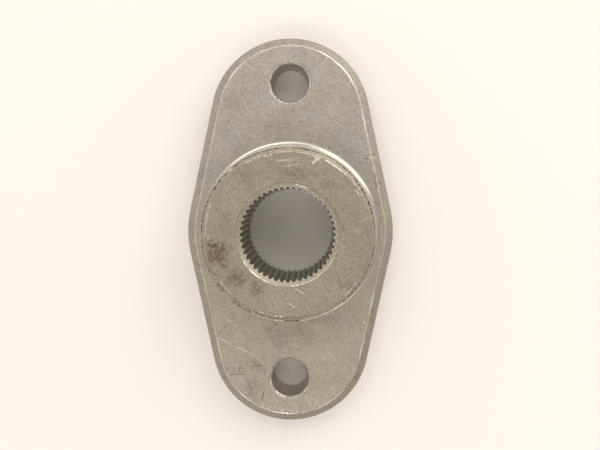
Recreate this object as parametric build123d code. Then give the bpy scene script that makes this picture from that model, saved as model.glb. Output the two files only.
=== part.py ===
from build123d import *
import os
from math import cos, pi, radians, sin, tan

# Mower blade adapter, one pressed and sintered steel piece. A lobed flange with two bolt holes
# carries the blade, and the round hub on it has a serrated bore that slides onto the engine shaft.
# Millimetres. The origin is on the bore's axis at the flat underside, Z runs up through the hub,
# and Y runs along the flange from bolt hole to bolt hole.

# Heights above the flat underside
flange_thickness = 9.5
overall_height = 21.0

# Hub: a bevel at its top, and outside it the narrow flat land that the pressing tool leaves
hub_diameter = 35.3
hub_bevel_width = 0.8
hub_bevel_drop = 0.6
hub_land_width = 0.13
hub_base_fillet = 2.0

# Bolt holes
bolt_spacing = 64.0
bolt_hole_diameter = 8.05
bolt_mouth_break = 0.5

# Flange outline: a round middle lobe and two smaller end lobes, joined by straight flanks
hub_surround = 4.7
end_lobe_radius = 17.15
hole_to_end = 9.65

# Flange edges: a bevel above, rounded at its foot and its crest, and a light break below
bevel_width = 1.7
bevel_drop = 1.0
bevel_foot_radius = 0.6
bevel_crest_radius = 0.8
underside_break = 0.4

# Serrated bore: each tooth space is a blunt V, and each tooth keeps a narrow land at its tip
tooth_count = 48
bore_root_diameter = 19.45
tooth_height = 0.55
tooth_tip_land = 0.1
space_floor_width = 0.18

# Both mouths of the bore are cones: how far past the tooth roots, and how steep in degrees
countersink_reach = 0.725
countersink_slope = 30.0
lead_in_reach = 0.325
lead_in_slope = 45.0

# How far a cut runs past the face or the edge that it has to clear
overrun = 1.0

# Sizes that follow
hub_radius = hub_diameter / 2
middle_lobe_radius = hub_radius + hub_surround
end_lobe_offset = bolt_spacing / 2 + hole_to_end - end_lobe_radius
root_radius = bore_root_diameter / 2
tip_radius = root_radius - tooth_height


def flange():
    """Plate around the three lobes, bevelled above and lightly broken below."""
    lobes = Circle(middle_lobe_radius).edges()
    for side in (-1, 1):
        lobes += (Pos(0, side * end_lobe_offset) * Circle(end_lobe_radius)).edges()
    plate = extrude(make_hull(lobes), flange_thickness)
    top = plate.faces().sort_by(Axis.Z)[-1]
    plate = chamfer(top.edges(), bevel_width, bevel_drop, reference=top)
    foot_height = flange_thickness - bevel_drop
    foot = plate.edges().filter_by_position(Axis.Z, foot_height, foot_height)
    plate = fillet(foot, bevel_foot_radius)
    crest = plate.edges().filter_by_position(Axis.Z, flange_thickness, flange_thickness)
    plate = fillet(crest, bevel_crest_radius)
    underside = plate.faces().sort_by(Axis.Z)[0]
    return chamfer(underside.edges(), underside_break)


def hub():
    """Round hub, turned from half of its section, from inside the flange to the end face."""
    land_edge = hub_radius - hub_land_width
    face_edge = land_edge - hub_bevel_width
    bevel_foot = overall_height - hub_bevel_drop
    section = Polyline(
        (0, flange_thickness / 2),
        (hub_radius, flange_thickness / 2),
        (hub_radius, bevel_foot),
        (land_edge, bevel_foot),
        (face_edge, overall_height),
        (0, overall_height),
        close=True,
    )
    return revolve(Plane.XZ * make_face(section), Axis.Z)


def tooth_space():
    """Blunt V between two teeth, from the root circle in past the tip circle, on the X axis."""
    half_space = pi / tooth_count - tooth_tip_land / (2 * tip_radius)
    corner = (tip_radius * cos(half_space), tip_radius * sin(half_space))
    floor = space_floor_width / 2
    inner = tip_radius - overrun
    return make_face(
        Polyline(
            (inner, -corner[1]),
            (corner[0], -corner[1]),
            (root_radius, -floor),
            (root_radius, floor),
            corner,
            (inner, corner[1]),
            close=True,
        )
    )


def mouth_cone(reach, slope):
    """Cone that opens a bore mouth past the tooth roots and ends inside the teeth. Its base is on Z zero."""
    base_radius = root_radius + reach
    end_radius = tip_radius - overrun
    depth = (base_radius - end_radius) * tan(radians(slope))
    return Pos(0, 0, -depth / 2) * Cone(end_radius, base_radius, depth)


def serrated_bore():
    """All that the bore takes out: the toothed hole, its countersink and its lead-in."""
    hole = Circle(tip_radius) + PolarLocations(0, tooth_count) * tooth_space()
    cut = Pos(0, 0, -overrun) * extrude(hole, overall_height + 2 * overrun)
    cut += Pos(0, 0, overall_height) * mouth_cone(countersink_reach, countersink_slope)
    cut += Rot(180, 0, 0) * mouth_cone(lead_in_reach, lead_in_slope)
    return cut


def bolt_hole():
    """One bolt hole's cut, with both of its mouths lightly opened."""
    radius = bolt_hole_diameter / 2
    mouth = radius + bolt_mouth_break + overrun
    section = Polyline(
        (0, -overrun),
        (mouth, -overrun),
        (radius, bolt_mouth_break),
        (radius, flange_thickness - bolt_mouth_break),
        (mouth, flange_thickness + overrun),
        (0, flange_thickness + overrun),
        close=True,
    )
    return revolve(Plane.XZ * make_face(section), Axis.Z)


def blade_adapter():
    """The whole piece: flange and hub fused and filleted, then bored and drilled."""
    body = flange() + hub()
    seat_rims = body.edges().filter_by(GeomType.CIRCLE).filter_by_position(
        Axis.Z, flange_thickness, flange_thickness
    )
    hub_foot = seat_rims.filter_by(lambda rim: abs(rim.radius - hub_radius) < 0.001)
    body = fillet(hub_foot, hub_base_fillet)
    body -= serrated_bore()
    for side in (-1, 1):
        body -= Pos(0, side * bolt_spacing / 2) * bolt_hole()
    return body


os.makedirs("parts", exist_ok=True)
adapter = blade_adapter()
adapter.label = "blade_adapter"
export_step(adapter, "parts/blade_adapter.step")
print("blade_adapter", round(adapter.volume), "mm3,", len(adapter.faces()), "faces,", adapter.bounding_box().size)
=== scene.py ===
# %% [markdown]
# # A sintered steel mower blade adapter
# This little part joins a mower's blade to its engine shaft. Steel powder is pressed in a die and
# sintered, so the whole thing is one piece: a lobed flange with two bolt holes, and a round hub with
# a serrated bore. Here its shape is built by hand from circles that are pulled, extruded and inset,
# because that gives clean rings of faces along every edge, and the edges are where the wear shows.
# The CAD model is loaded first. It is the frame that fixes the real size and place of everything.

# %% Load the frame
import math

import bmesh
import bpy
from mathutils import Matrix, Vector


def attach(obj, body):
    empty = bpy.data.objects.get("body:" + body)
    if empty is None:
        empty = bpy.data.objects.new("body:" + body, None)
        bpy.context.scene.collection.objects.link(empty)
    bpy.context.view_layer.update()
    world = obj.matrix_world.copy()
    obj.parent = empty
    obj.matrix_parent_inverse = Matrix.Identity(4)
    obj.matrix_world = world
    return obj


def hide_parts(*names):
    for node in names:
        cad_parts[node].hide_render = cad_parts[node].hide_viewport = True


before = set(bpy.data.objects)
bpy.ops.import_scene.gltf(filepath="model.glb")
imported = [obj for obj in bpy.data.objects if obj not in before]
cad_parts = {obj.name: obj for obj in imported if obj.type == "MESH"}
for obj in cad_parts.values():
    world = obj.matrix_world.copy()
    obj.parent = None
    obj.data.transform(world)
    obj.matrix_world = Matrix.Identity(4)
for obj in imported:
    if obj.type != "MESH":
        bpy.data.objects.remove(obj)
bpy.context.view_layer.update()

NODE = "blade_adapter"
MM = 0.001

# %% [markdown]
# ## Camera
# The photograph looks straight down from close by, a hand's breadth above the hub. At that distance
# the hub is drawn clearly larger than the table under it, and the bore shows some of its far wall.
# The camera therefore stands at a real height over the part, a little off its axis. Unturned, it
# looks straight down with +Y up the picture, and two small tilts give the view that was measured.

# %% Camera
CAMERA_PLACE = Vector((6.19, 8.70, 164.34)) * MM
CAMERA_TILT = (-2.678, 1.485, 0.0)
SENSOR_WIDTH = 36.0
LENS = 43.0

camera_data = bpy.data.cameras.new("camera")
camera_data.sensor_width = SENSOR_WIDTH
camera_data.lens = LENS
camera_data.clip_start = 10 * MM
camera = bpy.data.objects.new("camera", camera_data)
camera.location = CAMERA_PLACE
camera.rotation_euler = [math.radians(turn) for turn in CAMERA_TILT]
bpy.context.scene.collection.objects.link(camera)
bpy.context.scene.camera = camera
print("camera stands", round(CAMERA_PLACE.z / MM), "mm above the table")

# %% [markdown]
# ## Shader helpers
# Every finish below is built from nodes. Written out one by one they would hide the idea, so each
# helper makes a node, feeds its inputs with numbers or with other nodes' outputs, and returns its
# output. A line of code then reads like the formula that it stands for. A node is put into the tree
# that its inputs come from, so the tree is named only where a formula starts.

# %% Helpers for shader nodes
def feed(socket, value):
    """Gives a socket a fixed value, or links it to another node's output."""
    if isinstance(value, bpy.types.NodeSocket):
        socket.id_data.links.new(value, socket)
    else:
        socket.default_value = value


def new_node(kind, values):
    """A node of this kind, in the tree that these values come from."""
    tree = next(value.id_data for value in values if isinstance(value, bpy.types.NodeSocket))
    return tree.nodes.new("ShaderNode" + kind)


def calc(operation, *values):
    """A Math node."""
    node = new_node("Math", values)
    node.operation = operation
    for socket, value in zip(node.inputs, values):
        feed(socket, value)
    return node.outputs["Value"]


def times(first, *others):
    """The product of two or more values."""
    for other in others:
        first = calc("MULTIPLY", first, other)
    return first


def limit(value):
    """Keeps a value between 0 and 1."""
    node = new_node("Clamp", [value])
    feed(node.inputs["Value"], value)
    return node.outputs["Result"]


def calc_vector(operation, *values, output="Vector"):
    """A Vector Math node."""
    node = new_node("VectorMath", values)
    node.operation = operation
    for socket, value in zip(node.inputs, values):
        feed(socket, value)
    return node.outputs[output]


def scaled(vector, factor):
    """The vector, made longer or shorter by a factor."""
    result = calc_vector("SCALE", vector)
    feed(result.node.inputs["Scale"], factor)
    return result


def dot(first, second):
    """How far one vector reaches along another."""
    return calc_vector("DOT_PRODUCT", first, second, output="Value")


def step_between(value, low, high, from_value=0.0, to_value=1.0):
    """Goes softly from from_value to to_value while value goes from low to high."""
    node = new_node("MapRange", [value])
    node.interpolation_type = "SMOOTHSTEP"
    node.clamp = False
    names = ("Value", "From Min", "From Max", "To Min", "To Max")
    for name, given in zip(names, (value, low, high, from_value, to_value)):
        feed(node.inputs[name], given)
    return node.outputs["Result"]


def mix(factor, first, second, blend="MIX"):
    """Mixes two colours."""
    node = new_node("Mix", (factor, first, second))
    node.data_type = "RGBA"
    node.blend_type = blend
    feed(node.inputs["Factor"], factor)
    for socket, value in zip((node.inputs[6], node.inputs[7]), (first, second)):
        feed(socket, (*value, 1.0) if isinstance(value, tuple) else value)
    return node.outputs[2]


def noise(place, scale, detail=2.0, output="Fac"):
    """Noise whose patches are about 1 / scale across, in the units of place."""
    node = new_node("TexNoise", [place])
    for name, value in (("Vector", place), ("Scale", scale), ("Detail", detail)):
        feed(node.inputs[name], value)
    return node.outputs[output]


def new_material(name):
    """A material with its Principled shader; gives the material, its tree and the shader."""
    material = bpy.data.materials.new(name)
    material.use_nodes = True
    return material, material.node_tree, material.node_tree.nodes["Principled BSDF"]


print("shader helpers ready")

# %% [markdown]
# ## Light
# The steel is a dull mirror, so its rims and fillets show where the light stood. The tall bright
# crescent at the upper right of the hub is a big window seen in the fillet, and the thin one at the
# upper left is a high light beyond the top of the picture. A third light stands opposite and fills
# the near side of the hub and the lower end of the flange. All bevels that lean to the window are
# bright and the near ones are darker, so the room is paler low down and on the window's side. One
# world shader says this: its strength rises from overhead to the horizon, and round to one side.

# %% Lights and world
ROOM_COLOR = (1.0, 0.985, 0.965)
OVERHEAD = 0.36
HORIZON = 0.56
WINDOW_SIDE = 0.20
WINDOW_TURN = 110
LAMP_COLOR = (1.0, 0.985, 0.96)
LAMP_DISTANCE = 0.65
# Azimuth and elevation in degrees, width and height in metres, and radiance
LAMPS = {
    "far_light": (113, 62, 0.30, 0.26, 2.0),
    "window_light": (50, 42, 0.42, 0.50, 1.55),
    "near_light": (262, 62, 0.40, 0.28, 2.0),
}


def soft_lamp(name, azimuth, elevation, width, height, radiance):
    """An area lamp that faces the part."""
    turn, rise = math.radians(azimuth), math.radians(elevation)
    way = Vector((math.cos(turn) * math.cos(rise), math.sin(turn) * math.cos(rise), math.sin(rise)))
    data = bpy.data.lights.new(name, "AREA")
    data.shape = "RECTANGLE"
    data.size = width
    data.size_y = height
    data.energy = radiance * math.pi * width * height
    data.color = LAMP_COLOR
    lamp = bpy.data.objects.new(name, data)
    lamp.location = way * LAMP_DISTANCE
    lamp.rotation_euler = (-way).to_track_quat("-Z", "Y").to_euler()
    bpy.context.scene.collection.objects.link(lamp)


for name, lamp in LAMPS.items():
    soft_lamp(name, *lamp)

world = bpy.data.worlds.new("room")
bpy.context.scene.world = world
world.use_nodes = True
tree = world.node_tree
direction = tree.nodes.new("ShaderNodeTexCoord").outputs["Generated"]
window_way = (math.cos(math.radians(WINDOW_TURN)), math.sin(math.radians(WINDOW_TURN)), 0)
levelness = calc_vector("LENGTH", calc_vector("MULTIPLY", direction, (1, 1, 0)), output="Value")
strength = calc("MULTIPLY_ADD", levelness, HORIZON, OVERHEAD)
strength = calc("MULTIPLY_ADD", dot(direction, window_way), WINDOW_SIDE, strength)
background = tree.nodes["Background"]
background.inputs["Color"].default_value = (*ROOM_COLOR, 1.0)
feed(background.inputs["Strength"], strength)
bpy.context.scene.view_settings.view_transform = "Standard"

# %% [markdown]
# ## Floor
# A plain pale floor carries the shadow. Seen directly or in a reflection it is nearly white, but the
# light that it sends back to the part is that of a greyer board, so the steel isn't flooded from
# below. From underneath it is transparent, which lets a camera look at the part's flat underside.

# %% Floor
FLOOR_SEEN = (0.93, 0.880, 0.830)
FLOOR_LIGHTING = (0.62, 0.590, 0.555)
FLOOR_SIZE = 3.0

bpy.ops.mesh.primitive_plane_add(size=FLOOR_SIZE, location=(0, 0, 0))
floor = bpy.context.object
floor.name = "floor"
board, tree, shader = new_material("pale board")
light_path = tree.nodes.new("ShaderNodeLightPath")
seen = calc("MAXIMUM", light_path.outputs["Is Camera Ray"], light_path.outputs["Is Glossy Ray"])
seen = calc("MAXIMUM", seen, light_path.outputs["Is Transmission Ray"])
feed(shader.inputs["Base Color"], mix(seen, FLOOR_LIGHTING, FLOOR_SEEN))
shader.inputs["Roughness"].default_value = 0.8
shader.inputs["Specular IOR Level"].default_value = 0.2
clear = tree.nodes.new("ShaderNodeBsdfTransparent")
see_through = tree.nodes.new("ShaderNodeMixShader")
geometry = tree.nodes.new("ShaderNodeNewGeometry")
for socket, source in zip(
    see_through.inputs, (geometry.outputs["Backfacing"], shader.outputs["BSDF"], clear.outputs["BSDF"])
):
    feed(socket, source)
feed(tree.nodes["Material Output"].inputs["Surface"], see_through.outputs["Shader"])
floor.data.materials.append(board)
print("floor is", FLOOR_SIZE, "m wide")

# %% [markdown]
# ## Working by hand in code
# Each piece starts as a primitive and is shaped with edit-mode operators, which act on whatever is
# selected. These helpers do what a hand does between two operators: enter edit mode, drop the old
# selection, and pick vertices by where they are.

# %% Helpers for edit mode
TINY = 0.01 * MM
ORIGIN = (0, 0, 0)


def only(obj):
    """Selects this object alone and makes it active."""
    bpy.ops.object.select_all(action="DESELECT")
    obj.select_set(True)
    bpy.context.view_layer.objects.active = obj


def start_edit(obj):
    """Enters edit mode in vertex selection, with nothing selected."""
    only(obj)
    bpy.ops.object.mode_set(mode="EDIT")
    bpy.ops.mesh.select_mode(type="VERT")
    bpy.ops.mesh.select_all(action="DESELECT")


def end_edit():
    """Leaves edit mode."""
    bpy.ops.object.mode_set(mode="OBJECT")


def pick(obj, test):
    """Selects exactly the vertices whose place passes the test, in edit mode."""
    mesh = bmesh.from_edit_mesh(obj.data)
    for vertex in mesh.verts:
        vertex.select_set(test(vertex.co))
    mesh.select_flush(True)
    mesh.select_flush(False)
    bmesh.update_edit_mesh(obj.data)


def at_height(height):
    """Test for vertices at this height above the floor, in millimetres."""
    return lambda place: abs(place.z - height * MM) < TINY


def on_ring(point):
    """Test for the vertices of a turned ring about the bore's axis, given as (radius, height)."""
    return lambda place: at_height(point.y)(place) and abs(place.to_2d().length - point.x * MM) < TINY


def resize_flat(factor, middle=ORIGIN):
    """Scales the selection about an upright axis, the bore's unless told otherwise."""
    bpy.ops.transform.resize(value=(factor, factor, 1.0), center_override=middle)


print("helpers ready")

# %% [markdown]
# ## Edge profiles
# A pressed part has no sharp corners left: the tool gives it bevels, and tumbling and use round them.
# Every edge here is a short chain of points with rounded corners, written once and then used for
# insets and extrusions. This helper puts an arc of the given radius at each corner of a chain. On a
# flat face the chain ends in a spare ring or two, so that a nick pressed into the edge later can't
# pull on the wide faces beyond it.

# %% Rounded chains
def rounded(chain, corners):
    """The chain's points, with an arc of (radius, steps) in place of each inner corner. Millimetres."""
    result = [Vector(chain[0])]
    for before, corner, after, (radius, steps) in zip(chain, chain[1:], chain[2:], corners):
        corner = Vector(corner)
        way_in = (corner - Vector(before)).normalized()
        way_out = (Vector(after) - corner).normalized()
        turn = way_in.angle(way_out)
        reach = radius * math.tan(turn / 2)
        towards_centre = (way_out - way_in).normalized()
        centre = corner + towards_centre * radius / math.cos(turn / 2)
        first = (corner - way_in * reach - centre).normalized()
        last = (corner + way_out * reach - centre).normalized()
        for step in range(steps + 1):
            result.append(centre + first.slerp(last, step / steps) * radius)
    result.append(Vector(chain[-1]))
    return result


FLANGE_TOP = 9.5
MIDDLE_LOBE = 22.35
END_LOBE = 17.15
END_OFFSET = 24.5
BEVEL_WIDTH = 1.7
BEVEL_DROP = 1.0
BEVEL_FOOT_RADIUS = 0.6
BEVEL_CREST_RADIUS = 0.8
UNDERSIDE_BREAK = 0.4
BREAK_RADII = (0.2, 0.15)
FLAT_RIM = 0.12
CREST_SUPPORT = 0.7
WALL_START = 1.0

upper_edge = rounded(
    [
        (0, WALL_START),
        (0, FLANGE_TOP - BEVEL_DROP),
        (BEVEL_WIDTH, FLANGE_TOP),
        (BEVEL_WIDTH + 4 * FLAT_RIM, FLANGE_TOP),
    ],
    [(BEVEL_FOOT_RADIUS, 5), (BEVEL_CREST_RADIUS, 6)],
)
upper_edge.append(Vector((BEVEL_WIDTH + CREST_SUPPORT, FLANGE_TOP)))
lower_edge = rounded(
    [(0, WALL_START), (0, UNDERSIDE_BREAK), (UNDERSIDE_BREAK, 0), (UNDERSIDE_BREAK + 2 * FLAT_RIM, 0)],
    [(radius, 3) for radius in BREAK_RADII],
)
print("flange edge:", len(upper_edge), "points above,", len(lower_edge), "below")

# %% [markdown]
# ## Flange
# The outline is what a string pulled round three discs would draw. A circle gives it directly: its
# two ends are shrunk to the end lobes' radius and pulled out along Y, and the two long edges that
# this leaves on each side are already the straight flanks, because a circle's points keep their
# directions when they move this way. The flat shape is extruded to a wall, and insets that also rise
# or sink lay the edge profile ring by ring, at an even distance from the outline all the way round.

# %% Flange
OUTLINE_POINTS = 720
FLANK_CUTS = 100
LONG_EDGE = 5.0


def lay_edge(profile, way):
    """Extrudes the selected outline to a wall, then insets a ring per point, up (1) or down (-1)."""
    bpy.ops.mesh.extrude_region_move(
        TRANSFORM_OT_translate={"value": (0, 0, (profile[1].y - WALL_START) * MM)}
    )
    bpy.ops.mesh.select_mode(type="FACE")
    for near, far in zip(profile[1:], profile[2:]):
        bpy.ops.mesh.inset(thickness=(far.x - near.x) * MM, depth=way * (far.y - near.y) * MM)
    bpy.ops.mesh.delete(type="ONLY_FACE")
    end_edit()


bpy.ops.mesh.primitive_circle_add(vertices=OUTLINE_POINTS, radius=MIDDLE_LOBE * MM, fill_type="NGON")
adapter = bpy.context.object
adapter.name = "adapter"
start_edit(adapter)
flank_turn = math.asin((MIDDLE_LOBE - END_LOBE) / END_OFFSET)
tangent_y = MIDDLE_LOBE * math.sin(flank_turn) * MM
for side in (-1, 1):
    pick(adapter, lambda place: side * place.y > tangent_y)
    resize_flat(END_LOBE / MIDDLE_LOBE)
    bpy.ops.transform.translate(value=(0, side * END_OFFSET * MM, 0))
bpy.ops.mesh.select_mode(type="EDGE")
outline = bmesh.from_edit_mesh(adapter.data)
for edge in outline.edges:
    edge.select_set(edge.calc_length() > LONG_EDGE * MM)
bmesh.update_edit_mesh(adapter.data)
bpy.ops.mesh.subdivide(number_cuts=FLANK_CUTS)
bpy.ops.mesh.select_all(action="SELECT")
bpy.ops.transform.translate(value=(0, 0, WALL_START * MM))
lay_edge(upper_edge, 1)
size = [round(v / MM, 2) for v in adapter.dimensions]
print("flange so far:", len(adapter.data.vertices), "points", size)

# %% [markdown]
# The underside gets the same treatment downwards, from the wall's lower ring. Both flat faces stay
# open for now: they have holes in them, so they are filled last, when all the rings are there.

# %% Underside edge of the flange
start_edit(adapter)
pick(adapter, at_height(WALL_START))
lay_edge(lower_edge, -1)
print("flange with its underside edge:", len(adapter.data.vertices), "points")

# %% [markdown]
# ## Turned shapes, ring by ring
# The hub, the bore and the bolt holes are round, so each is laid as on a lathe: one circle of edges
# is extruded again and again, and every new ring is resized about its axis and lifted. The helper
# takes the profile as points of radius and height.

# %% Helpers that turn a profile
def lay_rings(profile, middle=ORIGIN):
    """Extrudes the selected ring of edges along the profile, about an upright axis through middle."""
    for near, far in zip(profile, profile[1:]):
        bpy.ops.mesh.extrude_region_move(TRANSFORM_OT_translate={"value": (0, 0, (far.y - near.y) * MM)})
        resize_flat(far.x / near.x, middle)


def turned(name, points, profile, centre_y=0.0):
    """A new open shell: a circle of so many points, carried along (radius, height) in millimetres."""
    middle = (0, centre_y * MM, 0)
    bpy.ops.mesh.primitive_circle_add(
        vertices=points, radius=profile[0].x * MM, location=(0, centre_y * MM, profile[0].y * MM)
    )
    shell = bpy.context.object
    shell.name = name
    bpy.ops.object.transform_apply(location=True)
    start_edit(shell)
    bpy.ops.mesh.select_mode(type="EDGE")
    bpy.ops.mesh.select_all(action="SELECT")
    lay_rings(profile, middle)
    end_edit()
    return shell


print("lathe helpers ready")

# %% [markdown]
# ## Hub
# On the real part the hub's wall is drawn by the die and ends in a narrow land, where the upper punch
# met it. Powder squeezed between the two leaves a low ridge of flash on that land, and the line behind
# it holds dirt. So the edge isn't one bevel: it is wall, ridge, groove and bevel, each a few tenths
# of a millimetre. At its foot the hub runs into the flange in a fillet that shines like polished metal.

# %% Hub
HUB_RADIUS = 17.65
HUB_TOP = 21.0
HUB_BEVEL_WIDTH = 0.8
HUB_BEVEL_DROP = 0.6
HUB_LAND = 0.13
FLASH_HEIGHT = 0.05
FLASH_WIDTH = 0.06
FLASH_RADII = (0.03, 0.02, 0.02)
BEVEL_END_RADIUS = 0.3
FOOT_FILLET = 2.0
RIM_SUPPORT = 1.0
COUNTERSINK_RADIUS = 10.45
COUNTERSINK_SLOPE = math.tan(math.radians(30))
COUNTERSINK_RIM_RADIUS = 0.4
CONE_START = 0.5
TEETH = 48
POINTS_PER_TOOTH = 20

bevel_start = HUB_RADIUS - HUB_LAND
bevel_end = bevel_start - HUB_BEVEL_WIDTH
land_height = HUB_TOP - HUB_BEVEL_DROP
outer_rim = rounded(
    [
        (HUB_RADIUS + FOOT_FILLET + FLAT_RIM, FLANGE_TOP),
        (HUB_RADIUS, FLANGE_TOP),
        (HUB_RADIUS, land_height + FLASH_HEIGHT),
        (HUB_RADIUS - FLASH_WIDTH, land_height + FLASH_HEIGHT),
        (bevel_start, land_height),
        (bevel_end, HUB_TOP),
        (bevel_end - RIM_SUPPORT, HUB_TOP),
    ],
    [(FOOT_FILLET, 14), *[(radius, 2) for radius in FLASH_RADII], (BEVEL_END_RADIUS, 4)],
)
inner_rim = rounded(
    [
        (COUNTERSINK_RADIUS + RIM_SUPPORT, HUB_TOP),
        (COUNTERSINK_RADIUS, HUB_TOP),
        (COUNTERSINK_RADIUS - CONE_START, HUB_TOP - CONE_START * COUNTERSINK_SLOPE),
    ],
    [(COUNTERSINK_RIM_RADIUS, 4)],
)[:-1]
hub_profile = outer_rim + inner_rim
hub = turned("hub", TEETH * POINTS_PER_TOOTH, hub_profile)
print("hub:", len(hub_profile), "rings of", TEETH * POINTS_PER_TOOTH, "points")

# %% [markdown]
# ## Serrated bore
# The serrations are fine V-shaped teeth, pressed straight through the hub. The ring has the same
# number of points in every tooth, so the teeth come from pulling each point to its own radius: out to
# the root, in to the tip. Where a ring meets the countersink's cone, every point sinks as far as the
# cone's slope says, and the countersink's lower rim turns into the zigzag that the photograph shows.
# Press tools wear round, so the tooth spaces are rounded at the root and the teeth keep narrow crests.

# %% Tooth shape
ROOT_RADIUS = 9.725
TIP_RADIUS = 9.175
ROOT_FLAT = 0.141
TIP_FLAT = 0.083
ROOT_ROUNDING = 1.4
STEPS_PER_FLANK = POINTS_PER_TOOTH // 2


def up_the_tooth(place):
    """0 in the middle of a tooth space, 1 on the middle of a tooth, for a place round the bore."""
    turn = math.atan2(place.y, place.x) / math.tau * TEETH
    return 2 * abs(turn - round(turn))


def tooth_radius(step):
    """Distance from the axis, in millimetres, at this step from the root to the tip."""
    share = (step / STEPS_PER_FLANK - ROOT_FLAT) / (1 - ROOT_FLAT - TIP_FLAT)
    share = min(max(share, 0.0), 1.0)
    return ROOT_RADIUS + (TIP_RADIUS - ROOT_RADIUS) * share ** ROOT_ROUNDING


def tooth_ring(shell, level, radius_at, height_at):
    """Extrudes the selected ring to an empty level, then pulls each step of the teeth to its place."""
    bpy.ops.mesh.extrude_region_move()
    bpy.ops.transform.resize(value=(1, 1, 0), center_override=(0, 0, level * MM))
    bpy.ops.mesh.select_mode(type="VERT")
    mesh = bmesh.from_edit_mesh(shell.data)
    ring = [vertex for vertex in mesh.verts if vertex.select]
    for step in range(STEPS_PER_FLANK + 1):
        for vertex in mesh.verts:
            vertex.select_set(False)
        chosen = [vertex for vertex in ring if round(up_the_tooth(vertex.co) * STEPS_PER_FLANK) == step]
        for vertex in chosen:
            vertex.select_set(True)
        mesh.select_flush(True)
        bmesh.update_edit_mesh(shell.data)
        radius = tooth_radius(step)
        resize_flat(radius_at(radius) * MM / chosen[0].co.to_2d().length)
        bpy.ops.transform.translate(value=(0, 0, (height_at(radius) - level) * MM))


print("tooth radii:", [round(tooth_radius(step), 3) for step in range(STEPS_PER_FLANK + 1)])

# %% [markdown]
# The bore is carried on from the hub's last ring: one ring of teeth on the countersink's cone, one
# halfway down, one at the lower end where the lead-in cone cuts the teeth off, and then the round
# mouth in the underside.

# %% Bore
LEAD_IN_RADIUS = 10.05
LEAD_IN_START = 0.2
LEAD_IN_ROUNDING = 0.12
MIDDLE_LEVEL = 12.0
LOWER_LEVEL = 5.0
in_bore = ROOT_RADIUS * MM + TINY


def in_the_teeth(below):
    """Test for the vertices of the lowest tooth ring, all of which lie below this height."""
    return lambda place: place.to_2d().length < in_bore and place.z < below * MM


mouth = rounded(
    [
        (LEAD_IN_RADIUS - LEAD_IN_START, LEAD_IN_START),
        (LEAD_IN_RADIUS, 0),
        (LEAD_IN_RADIUS + 2 * FLAT_RIM, 0),
    ],
    [(LEAD_IN_ROUNDING, 3)],
)
start_edit(hub)
pick(hub, on_ring(hub_profile[-1]))
tooth_ring(
    hub, MIDDLE_LEVEL, lambda radius: radius,
    lambda radius: HUB_TOP - (COUNTERSINK_RADIUS - radius) * COUNTERSINK_SLOPE,
)
pick(hub, in_the_teeth(HUB_TOP))
tooth_ring(hub, MIDDLE_LEVEL, lambda radius: radius, lambda radius: MIDDLE_LEVEL)
pick(hub, in_the_teeth(MIDDLE_LEVEL + 1))
tooth_ring(hub, LOWER_LEVEL, lambda radius: radius, lambda radius: LEAD_IN_RADIUS - radius)
pick(hub, in_the_teeth(LOWER_LEVEL))
tooth_ring(hub, LOWER_LEVEL, lambda radius: mouth[0].x, lambda radius: mouth[0].y)
pick(hub, on_ring(mouth[0]))
bpy.ops.mesh.select_mode(type="EDGE")
lay_rings(mouth)
end_edit()
print("hub and bore:", len(hub.data.vertices), "points")

# %% [markdown]
# ## Bolt holes
# Two plain drilled-looking holes, each a tube with softened mouths. A tube is turned about its own
# axis, once for each hole, and its end rings lie in the flange's two flat faces.

# %% Bolt holes
BOLT_SPACING = 64.0
BOLT_RADIUS = 4.025
MOUTH_BREAK = 0.5
# Radius and steps of the four rounded corners of a hole's profile, from the top down
MOUTH_CORNERS = [(0.5, 5), (0.5, 5), (0.2, 3), (0.15, 3)]
HOLE_POINTS = 192

hole_profile = rounded(
    [
        (BOLT_RADIUS + MOUTH_BREAK + 2 * FLAT_RIM, FLANGE_TOP),
        (BOLT_RADIUS + MOUTH_BREAK, FLANGE_TOP),
        (BOLT_RADIUS, FLANGE_TOP - MOUTH_BREAK),
        (BOLT_RADIUS, MOUTH_BREAK),
        (BOLT_RADIUS + MOUTH_BREAK, 0),
        (BOLT_RADIUS + MOUTH_BREAK + 2 * FLAT_RIM, 0),
    ],
    MOUTH_CORNERS,
)
hole_places = [side * BOLT_SPACING / 2 for side in (-1, 1)]
holes = [turned("bolt_hole", HOLE_POINTS, hole_profile, place) for place in hole_places]
print("bolt holes at", hole_places)

# %% [markdown]
# ## Closing the faces
# The pieces now touch nowhere: their last rings lie in the planes of the flange's top and underside
# with flat ground between them. Joined into one mesh, each plane's rings are selected and filled,
# which leaves the holes open because they are rings too. After that all normals are turned outwards.

# %% Join and fill
only(adapter)
for shell in (hub, *holes):
    shell.select_set(True)
bpy.ops.object.join()
for height in (FLANGE_TOP, 0.0):
    start_edit(adapter)
    mesh = bmesh.from_edit_mesh(adapter.data)
    bpy.ops.mesh.select_mode(type="EDGE")
    rim_edges = [
        edge for edge in mesh.edges
        if edge.is_boundary and all(at_height(height)(vertex.co) for vertex in edge.verts)
    ]
    for edge in rim_edges:
        edge.select_set(True)
    bmesh.update_edit_mesh(adapter.data)
    bpy.ops.mesh.fill(use_beauty=True)
    end_edit()
    print("filled the plane at", height, "mm between", len(rim_edges), "edges")
start_edit(adapter)
bpy.ops.mesh.select_all(action="SELECT")
bpy.ops.mesh.remove_doubles(threshold=TINY / 10)
bpy.ops.mesh.normals_make_consistent(inside=False)
end_edit()
check = bmesh.new()
check.from_mesh(adapter.data)
open_edges = sum(not edge.is_manifold for edge in check.edges)
triangles = sum(len(face.verts) - 2 for face in check.faces)
volume = round(check.calc_volume() / MM ** 3)
check.free()
print("adapter:", triangles, "triangles,", open_edges, "open edges, volume", volume, "mm3")

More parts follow.
